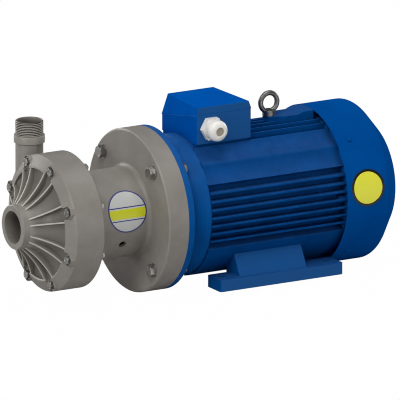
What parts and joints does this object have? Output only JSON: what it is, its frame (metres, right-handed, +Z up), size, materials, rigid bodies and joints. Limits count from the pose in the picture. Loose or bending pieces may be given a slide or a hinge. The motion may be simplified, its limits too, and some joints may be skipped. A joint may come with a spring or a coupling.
{
  "type": "chemical pump",
  "caption": "Seal-less magnetic-drive centrifugal pump with a ribbed plastic casing, close-coupled through a lantern to a finned foot-and-flange electric motor.",
  "frame": {"origin": "centre of the four foot holes, on the plane that the feet stand on", "axes": "+X along the shaft from the suction port to the fan, +Z up, so the cable gland faces -Y and the discharge is on the +Y side"},
  "size_m": [0.865, 0.35, 0.399],
  "materials": {
    "pump_plastic": "warm grey moulded plastic, satin",
    "motor_paint": "blue gloss paint on cast metal",
    "cowl_paint": "blue gloss paint on pressed sheet",
    "zinc_steel": "zinc-plated steel",
    "forged_steel": "bright forged steel",
    "wetted_plastic": "fibre-filled plastic",
    "white_ceramic": "ground alumina",
    "carbon": "carbon-filled bearing plastic",
    "magnet": "nickel-plated magnet",
    "black_rubber": "moulded rubber",
    "cast_bell": "machined casting",
    "shaft_steel": "ground steel",
    "bearing_steel": "polished bearing steel",
    "core_steel": "stacked electrical sheet",
    "copper": "varnished copper wire",
    "fan_plastic": "black plastic",
    "gland_white": "white plastic",
    "gland_insert": "beige rubber",
    "board_plastic": "brown thermoset",
    "brass_studs": "turned brass"
  },
  "bodies": {
    "root": {"volute_casing": "pump_plastic", "discharge_nipple": "pump_plastic", "casing_bolts": "zinc_steel", "casing_washers": "zinc_steel", "casing_nuts": "zinc_steel", "casing_o_ring": "black_rubber", "impeller_wear_ring": "carbon", "isolation_shell": "wetted_plastic", "ceramic_spindle": "white_ceramic", "front_thrust_ring": "white_ceramic", "rear_thrust_ring": "white_ceramic", "lantern": "pump_plastic", "lantern_bolts": "zinc_steel", "lantern_washers": "zinc_steel", "lantern_nuts": "zinc_steel", "front_bearing_outer_ring": "bearing_steel", "rear_bearing_outer_ring": "bearing_steel", "shaft_seal": "black_rubber", "bearing_preload_spring": "bearing_steel", "stator_core": "core_steel", "stator_windings": "copper", "front_end_shield": "motor_paint", "rear_end_shield": "motor_paint", "rear_shield_screws": "zinc_steel", "motor_frame": "motor_paint", "motor_foot_left": "motor_paint", "motor_foot_right": "motor_paint", "foot_screws": "zinc_steel", "fan_cowl": "cowl_paint", "cowl_screws": "cowl_paint", "terminal_box": "motor_paint", "terminal_lid": "motor_paint", "lid_gasket": "motor_paint", "terminal_board": "board_plastic", "terminal_studs": "brass_studs", "cable_gland_body": "gland_white", "cable_gland_cap": "gland_white", "cable_gland_seal": "gland_insert", "cable_gland_locknut": "gland_white", "lifting_eye_bolt": "forged_steel"},
    "motor_rotor": {"motor_shaft": "shaft_steel", "outer_magnet_bell": "cast_bell", "outer_magnets": "magnet", "shaft_key": "shaft_steel", "bell_retaining_washer": "zinc_steel", "bell_retaining_screw": "zinc_steel", "front_bearing_inner_ring": "bearing_steel", "front_bearing_balls": "bearing_steel", "rear_bearing_inner_ring": "bearing_steel", "rear_bearing_balls": "bearing_steel", "rotor_core": "core_steel", "cooling_fan": "fan_plastic", "fan_circlip": "shaft_steel"},
    "impeller_rotor": {"impeller": "wetted_plastic", "front_bush": "carbon", "rear_bush": "carbon", "inner_magnet_carrier": "wetted_plastic", "inner_magnets": "magnet", "inner_magnet_sleeve": "wetted_plastic"}
  },
  "joints": [
    {"name": "shaft_spin", "type": "hinge", "parent": "root", "child": "motor_rotor", "pos_m": [0, 0, 0.16], "axis": [1, 0, 0], "continuous": true},
    {"name": "impeller_spin", "type": "hinge", "parent": "root", "child": "impeller_rotor", "pos_m": [-0.45, 0, 0.16], "axis": [1, 0, 0], "continuous": true}
  ],
  "couplings": [
    {"joint": "impeller_spin", "follows": "shaft_spin", "ratio": 1}
  ]
}
